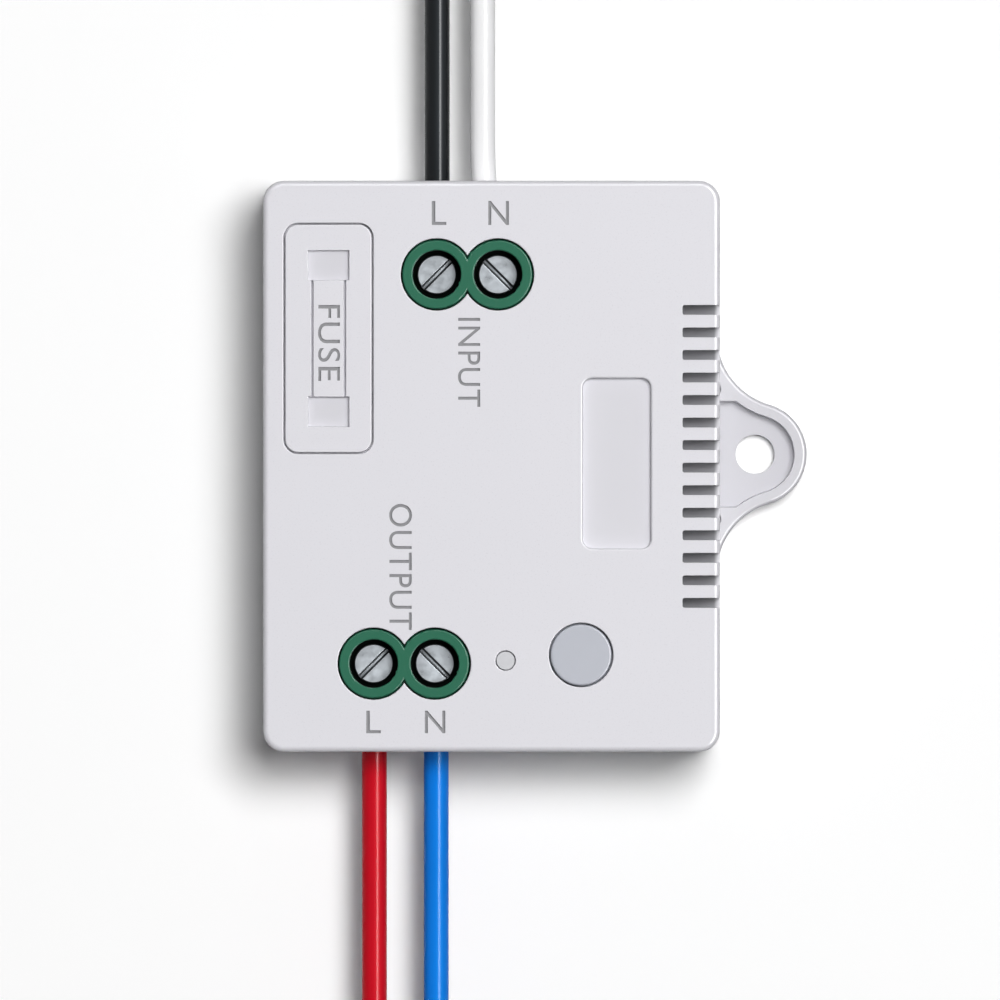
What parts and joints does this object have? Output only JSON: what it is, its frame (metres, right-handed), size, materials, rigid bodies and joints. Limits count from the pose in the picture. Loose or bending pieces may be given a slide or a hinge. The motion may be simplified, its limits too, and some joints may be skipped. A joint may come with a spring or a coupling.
{
  "type": "wireless switch module",
  "caption": "Flat mains relay module with green screw terminals at both ends, a fuse door, a push button, cooling slots, a side mounting ear and single-core leads.",
  "frame": {"origin": "middle of the housing's flat rear face", "axes": "+X towards the mounting ear, +Y towards the input terminals, +Z out of the face with the button"},
  "size_m": [0.0668, 0.218, 0.0221],
  "materials": {
    "housing_plastic": "fine satin, moulded",
    "light_guide": "milky, moulded",
    "button_plastic": "satin, moulded",
    "zinc_steel": "bright zinc plate",
    "screw_metal": "satin nickel plate",
    "tinned_metal": "bright tin plate",
    "nickel_caps": "bright nickel plate",
    "contact_metal": "rolled bronze strip",
    "bare_copper": "drawn copper",
    "clear_glass": "clear",
    "terminal_green": "satin, moulded",
    "board_green": "solder mask",
    "black_plastic": "satin, moulded",
    "natural_plastic": "satin, moulded",
    "ferrite": "ground ferrite",
    "yellow_tape": "wound tape",
    "dark_sleeve": "shrunk sleeve",
    "grey_epoxy": "potted box",
    "blue_epoxy": "dipped epoxy",
    "lamp_resin": "moulded resin",
    "black_insulation": "extruded, glossy",
    "white_insulation": "extruded, glossy",
    "red_insulation": "extruded, glossy",
    "blue_insulation": "extruded, glossy"
  },
  "bodies": {
    "housing": {"base_shell": "housing_plastic", "black_lead_core": "bare_copper", "black_lead_insulation": "black_insulation", "blue_lead_core": "bare_copper", "blue_lead_insulation": "blue_insulation", "bridge_rectifier": "black_plastic", "bulk_capacitor": "dark_sleeve", "choke_drum": "ferrite", "choke_winding": "bare_copper", "control_chip": "black_plastic", "film_capacitor": "grey_epoxy", "fixed_contact": "contact_metal", "fuse_caps": "nickel_caps", "fuse_clips": "tinned_metal", "fuse_tube": "clear_glass", "fuse_wire": "tinned_metal", "housing_screws": "zinc_steel", "indicator_lamp": "lamp_resin", "input_contact_strips": "tinned_metal", "input_terminal_block": "terminal_green", "light_pipe": "light_guide", "main_board": "board_green", "output_contact_strips": "tinned_metal", "output_terminal_block": "terminal_green", "radio_board": "board_green", "radio_header": "black_plastic", "radio_shield": "tinned_metal", "red_lead_core": "bare_copper", "red_lead_insulation": "red_insulation", "relay_base": "black_plastic", "relay_bobbin": "natural_plastic", "relay_case": "black_plastic", "relay_core": "zinc_steel", "relay_pins": "tinned_metal", "relay_winding": "bare_copper", "relay_yoke": "zinc_steel", "reservoir_capacitor": "dark_sleeve", "tact_switch": "black_plastic", "top_cover": "housing_plastic", "transformer_base": "black_plastic", "transformer_core": "ferrite", "transformer_winding": "yellow_tape", "varistor": "blue_epoxy", "white_lead_core": "bare_copper", "white_lead_insulation": "white_insulation"},
    "fuse_door": {"fuse_door": "housing_plastic"},
    "button": {"button_cap": "button_plastic"},
    "switch_plunger": {"tact_plunger": "natural_plastic"},
    "relay_rocker": {"relay_armature": "zinc_steel", "contact_blade": "contact_metal"},
    "input_live_screw": {"input_live_screw": "screw_metal"},
    "input_live_clamp": {"input_live_clamp": "zinc_steel"},
    "input_neutral_screw": {"input_neutral_screw": "screw_metal"},
    "input_neutral_clamp": {"input_neutral_clamp": "zinc_steel"},
    "output_live_screw": {"output_live_screw": "screw_metal"},
    "output_live_clamp": {"output_live_clamp": "zinc_steel"},
    "output_neutral_screw": {"output_neutral_screw": "screw_metal"},
    "output_neutral_clamp": {"output_neutral_clamp": "zinc_steel"}
  },
  "joints": [
    {"name": "fuse_door_lift", "type": "slide", "parent": "housing", "child": "fuse_door", "axis": [0, 0, 1], "range_m": [0, 0.03]},
    {"name": "button_press", "type": "slide", "parent": "housing", "child": "button", "axis": [0, 0, -1], "range_m": [0, 0.00035], "stiffness_N_per_m": 1500},
    {"name": "plunger_press", "type": "slide", "parent": "housing", "child": "switch_plunger", "axis": [0, 0, -1], "range_m": [0, 0.00035]},
    {"name": "relay_pull_in", "type": "hinge", "parent": "housing", "child": "relay_rocker", "pos_m": [0.016, -0.0072, 0.0171], "axis": [-1, 0, 0], "range_deg": [0, 2.2], "stiffness_Nm_per_rad": 0.02},
    {"name": "input_live_screw_turn", "type": "hinge", "parent": "housing", "child": "input_live_screw", "pos_m": [-0.0067, 0.0235, 0.0196], "axis": [0, 0, 1], "range_deg": [0, 1171]},
    {"name": "input_live_clamp_slide", "type": "slide", "parent": "housing", "child": "input_live_clamp", "axis": [0, 0, 1], "range_m": [-0.00162, 0]},
    {"name": "input_neutral_screw_turn", "type": "hinge", "parent": "housing", "child": "input_neutral_screw", "pos_m": [0.0008, 0.0235, 0.0196], "axis": [0, 0, 1], "range_deg": [0, 1171]},
    {"name": "input_neutral_clamp_slide", "type": "slide", "parent": "housing", "child": "input_neutral_clamp", "axis": [0, 0, 1], "range_m": [-0.00162, 0]},
    {"name": "output_live_screw_turn", "type": "hinge", "parent": "housing", "child": "output_live_screw", "pos_m": [-0.01444, -0.0242, 0.0196], "axis": [0, 0, 1], "range_deg": [0, 1171]},
    {"name": "output_live_clamp_slide", "type": "slide", "parent": "housing", "child": "output_live_clamp", "axis": [0, 0, 1], "range_m": [-0.00162, 0]},
    {"name": "output_neutral_screw_turn", "type": "hinge", "parent": "housing", "child": "output_neutral_screw", "pos_m": [-0.00694, -0.0242, 0.0196], "axis": [0, 0, 1], "range_deg": [0, 1171]},
    {"name": "output_neutral_clamp_slide", "type": "slide", "parent": "housing", "child": "output_neutral_clamp", "axis": [0, 0, 1], "range_m": [-0.00162, 0]}
  ],
  "couplings": [
    {"joint": "plunger_press", "follows": "button_press", "ratio": 1},
    {"joint": "input_live_screw_turn", "follows": "input_live_clamp_slide", "rad_per_m": -12566},
    {"joint": "input_neutral_screw_turn", "follows": "input_neutral_clamp_slide", "rad_per_m": -12566},
    {"joint": "output_live_screw_turn", "follows": "output_live_clamp_slide", "rad_per_m": -12566},
    {"joint": "output_neutral_screw_turn", "follows": "output_neutral_clamp_slide", "rad_per_m": -12566}
  ]
}
